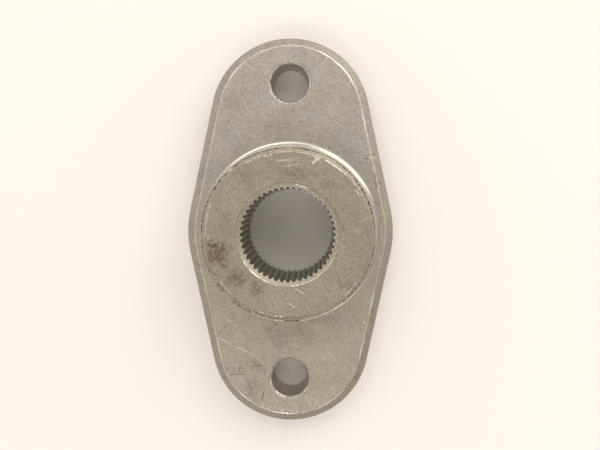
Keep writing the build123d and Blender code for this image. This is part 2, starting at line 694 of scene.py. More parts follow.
# %% [markdown]
# ## Marks from the photograph
# Nicks, scratches, stains and pits are the history of this one part, so they go where the photograph
# shows them. Each is noted at its pixel in the 600 by 450 picture. The camera above is the
# photograph's, so a ray through that pixel meets the part at the mark's true place.

# %% From a pixel to a place
PICTURE_WIDTH = 600
PICTURE_HEIGHT = 450


def seen_at(pixel, height):
    """The place that the photograph shows at this pixel, on the plane at this height. Millimetres."""
    across = pixel[0] - PICTURE_WIDTH / 2
    down = pixel[1] - PICTURE_HEIGHT / 2
    ray = Vector((across, -down, -PICTURE_WIDTH * LENS / SENSOR_WIDTH))
    ray.rotate(camera.rotation_euler)
    eye = CAMERA_PLACE / MM
    return tuple(eye + ray * ((height - eye.z) / ray.z))


middle = seen_at((PICTURE_WIDTH / 2, PICTURE_HEIGHT / 2), FLANGE_TOP)
print("the picture's middle shows", [round(v, 1) for v in middle], "on the flange")

# %% [markdown]
# ## Worn edges
# No edge of a used part runs true. A Displace modifier driven by a cloud texture wears the edges back
# unevenly, and a vertex group keeps it to them. Wear only takes metal away, so the texture's white is
# set as the level that doesn't move. Applied, it is real shape: reflections break up along the rims.

# %% Wear the edges back
WEAR_DEPTH = 0.09
WEAR_SIZE = 0.75
LEVEL_GAP = 0.0005
RIM_MARGIN = 0.1
CREST_MARGIN = 0.15
TOOTH_MARGIN = 0.7
FILLET_MARGIN = 0.5


def on_an_edge(place):
    """Whether a vertex lies on an edge that wears, just below the hub's face or the flange's top."""
    x, y, z = (v / MM for v in place)
    from_axis = math.hypot(x, y)
    if from_axis > HUB_RADIUS + FOOT_FILLET + FILLET_MARGIN:
        return FLANGE_TOP - CREST_MARGIN < z < FLANGE_TOP - LEVEL_GAP
    clear_of_teeth = from_axis > TIP_RADIUS + TOOTH_MARGIN
    return clear_of_teeth and land_height - RIM_MARGIN < z < HUB_TOP - LEVEL_GAP


edge_group = adapter.vertex_groups.new(name="worn edges")
worn_points = [vertex.index for vertex in adapter.data.vertices if on_an_edge(vertex.co)]
edge_group.add(worn_points, 1.0, "REPLACE")
clouds = bpy.data.textures.new("edge wear", "CLOUDS")
clouds.noise_scale = WEAR_SIZE * MM
clouds.noise_depth = 2
only(adapter)
wear = adapter.modifiers.new("wear", "DISPLACE")
wear.texture = clouds
wear.texture_coords = "LOCAL"
wear.vertex_group = edge_group.name
wear.strength = WEAR_DEPTH * MM
wear.mid_level = 1.0
bpy.ops.object.modifier_apply(modifier=wear.name)
print("worn back:", len(worn_points), "points, by up to", WEAR_DEPTH, "mm")

# %% [markdown]
# ## Nicks
# Deeper knocks are pressed in one at a time, as with a grab brush: the vertex nearest to the knock is
# pushed in, and proportional editing takes its neighbours along within a small radius.

# %% Press the nicks in
# Pixel, height of the plane it lies on, depth and radius in millimetres
NICKS = {
    "hub rim, upper right": ((358.6, 194.6), HUB_TOP, 0.10, 0.45),
    "hub rim, a second beside it": ((354.8, 189.4), HUB_TOP, 0.07, 0.30),
    "hub rim, a third": ((361.3, 199.8), HUB_TOP, 0.07, 0.30),
    "hub rim, top": ((319.5, 157.5), HUB_TOP, 0.10, 0.80),
    "hub rim, left": ((207.5, 250.0), HUB_TOP, 0.08, 0.60),
    "hub rim, lower left": ((231.5, 297.5), HUB_TOP, 0.09, 0.60),
    "hub rim, bottom": ((281.0, 317.0), HUB_TOP, 0.08, 0.50),
    "hub wall's lip, upper left": ((230.5, 168.0), HUB_TOP - HUB_BEVEL_DROP, 0.10, 0.40),
    "lower end, first tick": ((271.0, 409.5), FLANGE_TOP, 0.12, 0.35),
    "lower end, second tick": ((276.0, 411.0), FLANGE_TOP, 0.14, 0.35),
    "lower end, third tick": ((281.0, 412.0), FLANGE_TOP, 0.10, 0.30),
    "lower end, broad knock": ((287.0, 412.0), FLANGE_TOP, 0.12, 0.70),
    "lower end, right tick": ((316.5, 407.5), FLANGE_TOP, 0.14, 0.40),
    "right flank, upper": ((371.0, 156.5), FLANGE_TOP, 0.10, 0.50),
    "right flank, lower": ((366.5, 324.0), FLANGE_TOP, 0.12, 0.60),
    "left flank": ((204.5, 178.0), FLANGE_TOP, 0.08, 0.60),
    "lower left": ((226.0, 367.5), FLANGE_TOP, 0.10, 0.45),
    "upper end, left": ((246.0, 61.5), FLANGE_TOP, 0.09, 0.60),
    "hole mouth, lower hole": ((305.5, 392.5), FLANGE_TOP, 0.08, 0.35),
}

start_edit(adapter)
for pixel, plane, depth, radius in NICKS.values():
    spot = Vector(seen_at(pixel, plane)) * MM
    mesh = bmesh.from_edit_mesh(adapter.data)
    upper = [vertex for vertex in mesh.verts if vertex.co.z > MM]
    nearest = min(upper, key=lambda vertex: (vertex.co - spot).length)
    pick(adapter, lambda place: place == nearest.co)
    bpy.ops.transform.translate(
        value=nearest.normal * -depth * MM, use_proportional_edit=True,
        proportional_edit_falloff="SPHERE", proportional_size=radius * MM,
    )
end_edit()
print("nicks:", len(NICKS))

# %% [markdown]
# ## Smooth shading
# The rounded corners should shade as rounded and the teeth should keep their creases, so faces that
# meet at less than a set angle are shaded smoothly together and the others keep a sharp edge.

# %% Smooth shading
SMOOTH_BELOW = 30

only(adapter)
bpy.ops.object.shade_smooth_by_angle(angle=math.radians(SMOOTH_BELOW))
print("smooth below", SMOOTH_BELOW, "degrees")

# %% [markdown]
# ## Where on the part
# Finishes on a pressed part follow its shape: wear and painted highlights sit on the rims, and dirt and
# painted shade in the grooves. A few measures say where a point is. For all that is round it is the
# distance from the bore's axis or from a bolt hole's. For the flange it is the distance in from the
# outline, which is a string pulled round three discs: the disc that a point belongs to slides along Y
# with it, and its radius shrinks evenly towards the ends. For the serrations it is how far outside
# their zigzag a point lies. Everything is in millimetres from here on.

# %% Node group: place on the part
def new_group(name, inputs, floats=(), vectors=()):
    """A node group with these inputs and their defaults; gives its tree, and its inputs and results."""
    tree = bpy.data.node_groups.new(name, "ShaderNodeTree")
    for socket, value in inputs.items():
        kind = "Vector" if isinstance(value, tuple) else "Float"
        item = tree.interface.new_socket(socket, in_out="INPUT", socket_type="NodeSocket" + kind)
        item.default_value = value
    for kind, sockets in (("Vector", vectors), ("Float", floats)):
        for socket in sockets:
            tree.interface.new_socket(socket, in_out="OUTPUT", socket_type="NodeSocket" + kind)
    print("group:", name)
    return tree, tree.nodes.new("NodeGroupInput").outputs, tree.nodes.new("NodeGroupOutput").inputs


def use(group, **values):
    """Places a group, with its inputs by name and _ for a space, and gives its outputs."""
    node = new_node("Group", values.values())
    node.node_tree = group
    node.label = group.name
    for name, value in values.items():
        feed(node.inputs[name.replace("_", " ")], value)
    return node.outputs


def flat_length(across, along):
    """Length of the flat step (across, along)."""
    return calc("SQRT", calc("MULTIPLY_ADD", across, across, times(along, along)))


def in_millimetres(tree):
    """The point's place on the object, in millimetres."""
    coordinates = tree.nodes.new("ShaderNodeTexCoord").outputs["Object"]
    return calc_vector("MULTIPLY", coordinates, (1 / MM, 1 / MM, 1 / MM))


place_on_part, given, results = new_group(
    "place on the part", {"Place": ORIGIN}, ["From Axis", "From Hole", "Height", "Inset", "Past Teeth"]
)
split = new_node("SeparateXYZ", given)
feed(split.inputs[0], given["Place"])
x, y, height = split.outputs
across = calc("ABSOLUTE", x)
along = calc("ABSOLUTE", y)
from_axis = flat_length(across, along)
slide = calc("MULTIPLY_ADD", across, -math.tan(flank_turn), along)
slide = limit(calc("DIVIDE", slide, END_OFFSET))
disc_radius = calc("MULTIPLY_ADD", slide, END_LOBE - MIDDLE_LOBE, MIDDLE_LOBE)
beyond = calc("MULTIPLY_ADD", slide, -END_OFFSET, along)
turn = times(calc("ARCTAN2", y, x), TEETH / math.tau)
off_space = calc("ABSOLUTE", calc("SUBTRACT", turn, calc("ROUND", turn)))
up_tooth = calc("MULTIPLY_ADD", off_space, 2.0, -ROOT_FLAT)
up_tooth = limit(calc("DIVIDE", up_tooth, 1 - ROOT_FLAT - TIP_FLAT))
zigzag = calc("MULTIPLY_ADD", up_tooth, TIP_RADIUS - ROOT_RADIUS, ROOT_RADIUS)
feed(results["From Axis"], from_axis)
feed(results["From Hole"], flat_length(across, calc("SUBTRACT", along, BOLT_SPACING / 2)))
feed(results["Height"], height)
feed(results["Inset"], calc("SUBTRACT", disc_radius, flat_length(across, beyond)))
feed(results["Past Teeth"], calc("SUBTRACT", from_axis, zigzag))

# %% [markdown]
# ## Unevenness
# Nothing that wear or dirt draws is straight or even. A few noises are worked out once for a material
# and shared by all its marks: one pushes the place itself a little to and fro, so that every line
# drawn by it wanders, one frays the borders of patches, and two break lines into dashes and dots.

# %% Node group: unevenness
RAGS_PER_MM = 0.5
BREAKS_PER_MM = 1.6
FINE_BREAKS_PER_MM = 2.8
PUSHES_PER_MM = 0.9

unevenness, given, results = new_group(
    "unevenness", {"Place": ORIGIN, "Push": 0.35}, ["Ragged", "Breaks", "Fine Breaks"], ["Wavy Place"]
)
place = given["Place"]
feed(results["Ragged"], calc("MULTIPLY_ADD", noise(place, RAGS_PER_MM, 5.0), 3.0, -1.5))
feed(results["Breaks"], noise(place, BREAKS_PER_MM, 3.0))
feed(results["Fine Breaks"], noise(place, FINE_BREAKS_PER_MM, 4.0))
push = calc_vector("SUBTRACT", noise(place, PUSHES_PER_MM, 3.0, "Color"), (0.5, 0.5, 0.5))
feed(results["Wavy Place"], calc_vector("ADD", place, scaled(push, given["Push"])))

# %% [markdown]
# ## Pressed grain
# Sintered steel is powder that has grown together. Close up it is a matte sparkle of flattened grains
# with dark pores and a few bright specks between them, and at arm's length a soft mottling of tan and
# grey. Noises of several sizes make the tone and the hue, a cell pattern makes the pores and specks,
# and all of it raises and sinks the surface a few microns.

# %% Node group: pressed grain
SPARKLES_PER_MM = 6.0
GRAINS_PER_MM = 2.7
MOTTLE_PER_MM = 0.9
HUES_PER_MM = 0.11
CLOUDS_PER_MM = 0.2
CELLS_PER_MM = 1.5
GLINT_SHARE = 0.1


def contrast(value, gain):
    """A noise's step away from its middle, times gain."""
    return times(calc("SUBTRACT", value, 0.5), gain)


pressed_grain, given, results = new_group(
    "pressed grain",
    {"Place": ORIGIN, "Pore Size": 0.19, "Pore Share": 0.80, "Clouding": 0.4},
    ["Tone", "Hue", "Pores", "Glints", "Height"],
)
place = given["Place"]
sparkle = noise(place, SPARKLES_PER_MM, 2.0)
grains = noise(place, GRAINS_PER_MM, 3.0)
mottle = noise(place, MOTTLE_PER_MM, 3.0)
clouds = noise(place, CLOUDS_PER_MM, 3.0)
tone = calc("ADD", contrast(sparkle, 2.9), contrast(grains, 2.2))
tone = calc("ADD", tone, contrast(mottle, 0.5))
tone = calc("MULTIPLY_ADD", contrast(clouds, 1.6), given["Clouding"], tone)
hue = noise(place, HUES_PER_MM, 3.0)
cells = new_node("TexVoronoi", [place])
feed(cells.inputs["Vector"], place)
feed(cells.inputs["Scale"], CELLS_PER_MM)
cell = new_node("SeparateColor", [place])
feed(cell.inputs[0], cells.outputs["Color"])
chance, cell_size, cell_strength = cell.outputs
spot_size = times(given["Pore Size"], calc("ADD", cell_size, 0.4), CELLS_PER_MM)
spots = step_between(cells.outputs["Distance"], times(spot_size, 0.3), spot_size, 1.0, 0.0)
pores = times(spots, calc("LESS_THAN", chance, given["Pore Share"]), cell_strength)
glints = times(spots, calc("GREATER_THAN", chance, 1 - GLINT_SHARE), cell_strength)
feed(results["Tone"], calc("ADD", tone, 0.5))
feed(results["Hue"], step_between(hue, 0.35, 0.65))
feed(results["Pores"], pores)
feed(results["Glints"], glints)
feed(results["Height"], calc("SUBTRACT", calc("ADD", sparkle, grains), pores))

# %% [markdown]
# ## Bands, arcs, patches and scratches
# Four groups draw every mark on the part. A band is a line at a fixed distance from something, such as
# the dirt and painted shade along a rim. An arc is a stretch of such a line round the bore, for places
# where only part of a rim is worn, dirty or painted bright. A patch is a ragged ellipsoid, for stains
# and painted shade. A scratch is the distance to a segment.

# %% Node group: band
def line_mask(distance, width, softness):
    """1 on a line of this width and 0 beside it, with borders as soft as the given share of it."""
    return step_between(distance, times(width, softness), times(width, 1 - softness), 1.0, 0.0)


band, given, results = new_group(
    "band", {"Distance": 0.0, "Middle": 0.0, "Width": 0.3, "Breaks": 1.0, "Broken": 0.0}, ["Mask"]
)
aside = calc("ABSOLUTE", calc("SUBTRACT", given["Distance"], given["Middle"]))
line = line_mask(aside, given["Width"], 0.3)
low_break = calc("MULTIPLY_ADD", given["Broken"], 0.45, 0.2)
unbroken = step_between(given["Breaks"], low_break, calc("ADD", low_break, 0.10))
feed(results["Mask"], times(line, unbroken))

# %% [markdown]
# The arc turns the part's flat place into a frame that points at the arc's middle, and measures the
# turn from there with an arctangent, so no arc is cut where the angle jumps from plus to minus pi.

# %% Node group: arc
FADE = 0.4

arc, given, results = new_group(
    "arc",
    {
        "Place": ORIGIN, "Towards": (1, 0, 0), "Half Turn": 0.1, "Radius": 10.0, "Width": 0.2,
        "Breaks": 1.0, "Broken": 0.3,
    },
    ["Mask"],
)
flat_place = calc_vector("MULTIPLY", given["Place"], (1, 1, 0))
ahead = dot(flat_place, given["Towards"])
sideways = dot(flat_place, calc_vector("CROSS_PRODUCT", (0, 0, 1), given["Towards"]))
distance = calc_vector("LENGTH", flat_place, output="Value")
turned_by = calc("ABSOLUTE", calc("ARCTAN2", sideways, ahead))
to_end = times(calc("SUBTRACT", given["Half Turn"], turned_by), given["Radius"])
stretch = step_between(to_end, 0.0, FADE)
line = use(
    band, Distance=distance, Middle=given["Radius"], Width=given["Width"],
    Breaks=given["Breaks"], Broken=given["Broken"])["Mask"]
feed(results["Mask"], times(stretch, line))

# %% Node group: patch
patch, given, results = new_group(
    "patch",
    {"Place": ORIGIN, "Middle": ORIGIN, "Reach": (1, 1, 1), "Ragged": 0.0, "Raggedness": 0.5},
    ["Mask"],
)
away = calc_vector("SUBTRACT", given["Place"], given["Middle"])
away = calc_vector("LENGTH", calc_vector("DIVIDE", away, given["Reach"]), output="Value")
away = calc("MULTIPLY_ADD", given["Ragged"], given["Raggedness"], away)
feed(results["Mask"], step_between(away, 0.1, 1.0, 1.0, 0.0))

# %% Node group: scratch
scratch, given, results = new_group(
    "scratch",
    {"Place": ORIGIN, "From": ORIGIN, "To": (1, 0, 0), "Width": 0.2, "Breaks": 1.0, "Patchy": 0.5},
    ["Mask"],
)
along_it = calc_vector("SUBTRACT", given["To"], given["From"])
from_start = calc_vector("SUBTRACT", given["Place"], given["From"])
share = limit(calc("DIVIDE", dot(from_start, along_it), dot(along_it, along_it)))
aside = calc_vector("DISTANCE", from_start, scaled(along_it, share), output="Value")
skip_level = calc("MULTIPLY_ADD", given["Patchy"], 0.35, 0.15)
kept = step_between(given["Breaks"], skip_level, calc("ADD", skip_level, 0.15))
feed(results["Mask"], times(line_mask(aside, given["Width"], 0.25), kept))

# %% [markdown]
# ## The marks on the flange
# Each mark has a name and the pixels where it starts and ends, or where its middle is. Sizes are in
# millimetres, and the last number says how strong the mark is, from 0 to 1.

# %% Marks on the flange
# Light scratches: start, end, width, strength
FLANGE_SCRATCHES = {
    "left edge, upper": ((219.5, 338.5), (232, 344.5), 0.20, 0.75),
    "left edge, lower": ((236, 347), (248, 351.5), 0.16, 0.7),
    "diagonal to the hole": ((249, 352), (268, 367), 0.13, 0.55),
    "faint, under the hub": ((214, 314), (223, 318), 0.12, 0.5),
    "small blotch": ((227, 319), (230, 321), 0.28, 0.55),
    "beside the lower hole": ((305, 395), (321, 406), 0.10, 0.8),
    "second beside it": ((308, 398), (311, 407), 0.12, 0.8),
    "right edge blotch": ((363, 321), (366, 324), 0.24, 0.9),
    "middle, faint": ((292, 345), (300, 348), 0.14, 0.4),
    "right end spot": ((331, 388), (334, 389), 0.14, 0.6),
    "right end, second": ((326, 353), (335, 357), 0.10, 0.5),
    "upper right spots": ((369.5, 149.5), (371, 158), 0.22, 0.8),
    "upper right, lower spot": ((375.5, 176.5), (376, 180), 0.20, 0.85),
    "end tick, first": ((266.5, 405), (271, 411.5), 0.13, 0.95),
    "end tick, second": ((270, 406), (273.5, 412), 0.13, 0.95),
    "end tick, third": ((275, 406.5), (277.5, 413), 0.15, 1.0),
    "end tick, fourth": ((279, 408), (282.5, 413), 0.13, 0.95),
    "end tick, fifth": ((284, 409), (287.5, 413), 0.16, 0.95),
    "end tick, sixth": ((289, 409.5), (291.5, 413.5), 0.16, 0.95),
    "end tick, seventh": ((292.5, 410), (294, 413.5), 0.14, 0.85),
    "end tick, early": ((262, 402.5), (266, 408), 0.13, 0.8),
    "end tick, between": ((273, 407.5), (275.5, 412), 0.12, 0.9),
    "end tick, low": ((281.5, 410.5), (285, 413.5), 0.15, 1.0),
    "to the lower left": ((302, 392), (308, 399), 0.10, 0.7),
    "end tick, upright": ((296, 404), (296.5, 413), 0.14, 0.8),
    "end tick, right": ((313, 410), (316.5, 403), 0.15, 0.85),
    "end tick, far right": ((317.5, 408), (320, 404), 0.13, 0.8),
}
# Dark lines and smudges, and on the upper right bevel a patch of painted shade, written the same way
FLANGE_SMUDGES_AND_SHADE = {
    "line at the left edge": ((231, 374.5), (244, 374), 0.20, 0.72),
    "smudge by the lower hole": ((264, 391), (262, 400), 0.42, 0.64),
    "smudge left of the hole": ((255, 365), (261, 366), 0.42, 0.64),
    "upright smudge": ((240, 366), (239, 373), 0.31, 0.64),
    "spot": ((264, 372), (265, 375), 0.26, 0.6),
    "bevel, first bit": ((232.5, 386), (234.5, 388), 0.16, 1.0),
    "bevel, second bit": ((235, 388.5), (236.5, 390.5), 0.15, 1.0),
    "bevel, third bit": ((225, 366), (227.5, 370), 0.15, 0.9),
    "bevel, fourth bit": ((229.5, 381), (231, 382.5), 0.12, 0.9),
    # Painted shade on the upper right bevel
    "upper right bevel": ((374.5, 176), (376.5, 187), 0.45, 0.5),
    "upper left bevel": ((241, 62.5), (236.5, 66.5), 0.22, 0.7),
    "left bevel spot": ((193.5, 215.5), (194, 217), 0.16, 0.95),
    "right bevel spot": ((370.3, 321.5), (370.5, 323), 0.14, 0.95),
    "low, left of the hole": ((249, 383), (253, 396), 0.6, 0.3),
}
# Deep pores: pixel and radius in millimetres
FLANGE_PITS = {
    "right": ((366.5, 158.8), 0.30),
    "right, lower": ((361.0, 163.5), 0.16),
    "top left": ((229, 120), 0.20),
    "top middle": ((286, 128), 0.20),
    "top right": ((316, 102), 0.15),
    "low, left": ((230, 310), 0.16),
    "low, middle": ((296, 367), 0.15),
    "low, right": ((352, 360), 0.15),
}
# Where the crest of the flange's bevel is worn bright and carries a painted highlight: pixel, reach
# along X and Y, strength
CREST_WEAR_AND_HIGHLIGHT = {
    "right flank, upper": ((364.5, 124), (3.5, 8.0), 0.75),
    "upper end, right": ((345.0, 72), (6.0, 6.5), 1.0),
    "upper end, right of the top": ((326.0, 55), (5.0, 3.0), 0.8),
    "upper end, top": ((293, 45.5), (5.0, 3.0), 0.45),
    "upper end, left of the top": ((262, 51), (3.5, 3.0), 0.5),
    "upper end, left": ((233, 73), (5.0, 6.5), 0.9),
    "left flank, upper": ((214, 128), (3.5, 8.0), 0.5),
    "left flank": ((202, 190), (3.5, 8.0), 0.4),
    "left flank, lower": ((204, 282), (3.5, 7.0), 0.45),
    "lower left": ((219, 347), (3.5, 8.0), 0.6),
    "lower end, left": ((243, 396), (5.0, 4.0), 1.0),
    "lower end": ((280, 412), (8.0, 3.0), 1.0),
    "lower end, right": ((330, 401), (7.0, 4.5), 0.8),
    "right flank, lower": ((362, 345), (3.5, 7.0), 0.9),
    "right flank, low middle": ((371, 305), (3.0, 6.0), 0.9),
}
print("marks on the flange:", len(FLANGE_SCRATCHES) + len(FLANGE_SMUDGES_AND_SHADE) + len(FLANGE_PITS))

# %% [markdown]
# ## The marks on the hub
# The hub's two rims carry most of them. An arc is noted by the turn where it starts and ends, in
# degrees counted from +X towards +Y, on a rim of the given radius.

# %% Marks on the hub
HUB_SCRATCHES = {
    "below the bore": ((294.5, 288), (304, 294), 0.15, 0.6),
    "low, short": ((288.5, 303.5), (295, 307), 0.18, 0.8),
    "low, steep": ((272.5, 297), (279.5, 311), 0.12, 0.5),
    "low, small": ((277.5, 300), (282.5, 302.5), 0.12, 0.5),
    "top streak": ((276, 160), (292, 160), 0.16, 0.6),
    "top streak, second": ((284, 166), (300, 164), 0.13, 0.45),
    "top right smear": ((320.5, 155.5), (313, 163), 0.42, 0.75),
    "right of the top": ((307, 174), (319, 183), 0.10, 0.4),
    "right rim, radial": ((362, 221), (369, 217), 0.12, 0.35),
    "right rim nick": ((356, 191), (360.5, 195), 0.17, 0.95),
    "right rim nick, upper": ((354.3, 189), (355.3, 190), 0.14, 0.7),
    "right rim nick, lower": ((360.6, 199), (361, 200), 0.13, 0.6),
    "light dot, low right": ((325.2, 280), (325.8, 281), 0.14, 1.0),
    "light dot, lower": ((327.5, 294), (328.2, 294.5), 0.14, 0.9),
    "light dot, under the bore": ((309.8, 288.4), (310.6, 288.6), 0.12, 0.8),
    "light dot, right": ((355, 258.5), (355.4, 259.5), 0.14, 0.7),
    "light dot, upper left": ((256.8, 179), (257.4, 179), 0.14, 0.8),
    "light dot, top": ((269, 156), (269.6, 156.3), 0.14, 0.8),
    "stain's bright speck": ((233.5, 296.5), (235.5, 299.5), 0.16, 0.9),
}
HUB_SMUDGES = {
    "upright line": ((263.3, 292), (264.6, 310), 0.10, 0.75),
    "line to the low right": ((337.5, 271), (341.5, 290), 0.14, 0.6),
    "line right of the bore": ((341, 226), (346, 230), 0.16, 0.6),
    "beside it": ((346, 217), (340.5, 238), 0.10, 0.4),
    "dark dot, left": ((247, 274.5), (247.5, 275.5), 0.22, 0.8),
    "dark dot, right": ((337, 254.5), (337.5, 255.5), 0.20, 0.8),
    "dark dot, upper": ((276, 183.5), (276.4, 184.5), 0.18, 0.8),
    "dark spot, right rim": ((366.5, 228), (368, 236), 0.5, 0.35),
    "below the right rim": ((320, 312), (324, 313), 0.35, 0.5),
    "left of the nicks": ((345, 177), (349, 185), 0.35, 0.35),
}
# Brown oil stains: pixel of the middle, reach in millimetres along X and Y, strength
HUB_STAINS = {
    "left, main": ((219, 257), (3.6, 5.2), 0.80),
    "left, upper core": ((213, 246), (1.6, 2.0), 0.60),
    "left, middle core": ((221, 262), (1.5, 2.2), 0.6),
    "left, darkest spot": ((222.5, 264.5), (1.3, 1.3), 0.85),
    "left, upper dark spot": ((213, 246), (1.6, 1.4), 0.85),
    "towards the bottom": ((236, 278), (3.4, 2.8), 0.65),
    "by the countersink": ((257, 288), (2.2, 2.4), 0.70),
    "top": ((298, 174), (6.5, 2.0), 0.32),
    "top left": ((248, 182), (3.0, 3.0), 0.32),
    "low right": ((347, 286), (2.4, 1.7), 0.40),
    "right, above the bore": ((327, 187), (2.4, 2.0), 0.14),
    "lower left": ((224, 226), (2.2, 4.0), 0.36),
}
# Broad dull stains on the flange, written the same way; the two under the hub are painted shade with
# some oil
FLANGE_STAINS_AND_SHADE = {
    "under the hub": ((291, 336), (11.0, 4.0), 0.30),
    "under the hub, right": ((325, 318), (6.0, 3.0), 0.22),
    "left of the lower hole": ((251, 388), (3.2, 4.5), 0.24),
    "above the lower hole, left": ((258, 366), (3.0, 2.5), 0.25),
    "upper left": ((236, 104), (5.0, 4.5), 0.16),
    "above the hub": ((290, 122), (7.0, 4.0), 0.12),
}
# Bright stretches of the rims, worn metal with painted highlights: radius, start and end of the turn in
# degrees, width, strength
BRIGHT_ARCS = {
    "bevel, top": (16.66, 71, 101, 0.16, 0.55),
    "bevel, light stretch": (16.45, 66, 72, 0.71, 0.40),
    "bevel, upper right": (16.70, 44, 64, 0.19, 1.0),
    "bevel, right of it": (16.72, 36, 40, 0.17, 0.9),
    "bevel, upper left": (16.68, 106, 121, 0.16, 0.9),
    "bevel, left": (16.62, 157, 181, 0.38, 0.35),
    "bevel, lower left": (16.62, 213, 227, 0.15, 0.6),
    "bevel, lower right": (16.74, 313, 327, 0.19, 1.0),
    "outer rim, top": (17.46, 87, 89, 0.24, 0.9),
    "outer rim, upper right": (17.50, 41.6, 42.6, 0.28, 0.9),
    "outer rim, upper left": (17.45, 130, 134, 0.23, 1.0),
    "countersink, top": (10.14, 67, 84, 0.21, 0.95),
    "countersink, upper left": (10.32, 131, 149, 0.14, 0.85),
    "countersink, lower left": (10.38, 205, 241, 0.16, 0.95),
    "countersink, bottom left": (10.36, 240, 262, 0.13, 0.8),
    "countersink, bottom": (10.36, 272, 301, 0.16, 0.95),
    "countersink, lower right": (10.34, 298, 343, 0.14, 0.85),
}
# Rows of bright dots on the same rims, written the same way
DOTTED_ARCS = {
    "outer rim, lower": (17.5, 243, 268, 0.20, 1.0),
    "outer rim, low right": (17.51, 278, 305, 0.20, 0.9),
    "outer rim, left": (17.49, 183, 214, 0.14, 0.5),
    "bevel, upper left": (16.40, 100, 108, 0.40, 0.9),
    "bevel, in the oil": (16.60, 248, 268, 0.36, 1.0),
    "bevel, lower left": (16.60, 214, 232, 0.24, 0.8),
    "bevel, low right": (16.72, 285, 312, 0.16, 0.6),
    "bevel, right": (16.72, 330, 360, 0.14, 0.5),
}
# Dirt along the hub's outer rim, with painted shade in the gap at its edge, written the same way
RIM_DIRT_AND_SHADE_ARCS = {
    "top": (17.52, 68, 88, 0.38, 0.85),
    "upper right": (17.52, 42.5, 56, 0.33, 1.00),
    "right": (17.51, 13, 41, 0.41, 1.00),
    "right, lower": (17.52, 4, 12, 0.29, 1.00),
    "left": (17.52, 156, 180, 0.33, 0.90),
    "upper left, first wedge": (17.50, 152, 156, 0.49, 1.00),
    "upper left, second wedge": (17.50, 145, 150, 0.54, 1.00),
    "upper left, third wedge": (17.51, 140, 144, 0.41, 1.00),
    "upper left, fourth wedge": (17.50, 134.5, 138, 0.47, 1.00),
    "upper left, long": (17.51, 109, 130, 0.51, 1.00),
    "top, left": (17.52, 91, 108, 0.33, 0.80),
    "lower left, dark": (17.54, 210, 222, 0.45, 1.00),
    "lower left, above": (17.53, 182, 209, 0.31, 0.90),
    "lower left, below": (17.53, 230, 246, 0.36, 0.90),
    "bottom": (17.55, 267, 278, 0.40, 1.00),
    "bottom right": (17.55, 295, 327, 0.29, 0.90),
    "lower right": (17.54, 328, 353, 0.29, 0.80),
}
# Brown oil drawn out along the rims, written the same way
OIL_ARCS = {
    "bottom left, strong": (16.96, 246, 271, 0.50, 1.0),
    "bottom left, inside": (16.62, 251, 264, 1.00, 0.8),
    "bottom": (16.97, 270, 284, 0.32, 0.9),
    "lower left": (16.97, 213, 236, 0.35, 0.85),
    "lower left, small": (16.95, 240, 244, 0.48, 0.7),
    "left, lower": (16.90, 204, 210, 0.38, 0.6),
    "right, lower": (16.66, 333, 360, 0.32, 0.5),
    "countersink, right": (10.56, 10, 47, 0.35, 0.55),
    "countersink, upper right": (10.30, 50, 65, 0.32, 0.75),
}
print("arcs on the hub:", len(BRIGHT_ARCS) + len(RIM_DIRT_AND_SHADE_ARCS) + len(OIL_ARCS))

# %% [markdown]
# ## Laying the marks
# These helpers turn each list into one mask: every mark gets its group, is multiplied by its strength,
# and the strongest one wins at each point. The maximum is taken as each mark is laid, not at the end,
# because a shader has room for only so many values at a time.

# %% Helpers that lay marks
def strongest(masks):
    """The largest of several masks, which may be made one by one."""
    result = 0.0
    for mask in masks:
        result = calc("MAXIMUM", mask, result)
    return result


def lay_scratches(uneven, marks, plane, breaks, patchy):
    """One mask of all scratches in a list, on the plane at this height."""
    return strongest(
        times(use(
            scratch, Place=uneven["Wavy Place"], From=seen_at(start, plane), To=seen_at(end, plane),
            Width=width, Breaks=uneven[breaks], Patchy=patchy)["Mask"], strength)
        for start, end, width, strength in marks.values()
    )


def lay_patch(uneven, middle, reach, raggedness):
    """The mask of one patch."""
    return use(
        patch, Place=uneven["Wavy Place"], Middle=middle, Reach=reach,
        Ragged=uneven["Ragged"], Raggedness=raggedness)["Mask"]


def lay_patches(uneven, marks, plane, raggedness, depth=2.0):
    """One mask of all patches in a list, each reaching this deep below and above the plane."""
    return strongest(
        times(lay_patch(uneven, seen_at(pixel, plane), (*reach, depth), raggedness), strength)
        for pixel, reach, strength in marks.values()
    )


def lay_arc(uneven, breaks, broken, radius, start, end, width, strength):
    """The mask of one arc."""
    middle = math.radians((start + end) / 2)
    half = math.radians((end - start) / 2)
    mask = use(
        arc, Place=uneven["Wavy Place"], Towards=(math.cos(middle), math.sin(middle), 0),
        Half_Turn=half, Radius=radius, Width=width, Breaks=uneven[breaks], Broken=broken)["Mask"]
    return times(mask, strength)


def lay_arcs(uneven, marks, breaks, broken):
    """One mask of all arcs in a list."""
    return strongest(lay_arc(uneven, breaks, broken, *mark) for mark in marks.values())


def finish_steel(material, shader, color, roughness, relief, depth):
    """Makes the shader a metal whose surface rises by relief times depth, in millimetres."""
    bump = new_node("Bump", [relief])
    feed(bump.inputs["Distance"], depth * MM)
    feed(bump.inputs["Height"], relief)
    feed(shader.inputs["Normal"], bump.outputs["Normal"])
    feed(shader.inputs["Base Color"], color)
    feed(shader.inputs["Roughness"], roughness)
    feed(shader.inputs["Metallic"], 1.0)
    adapter.data.materials.append(material)
    print("material:", material.name, "with", len(material.node_tree.nodes), "nodes")


print("mark helpers ready")
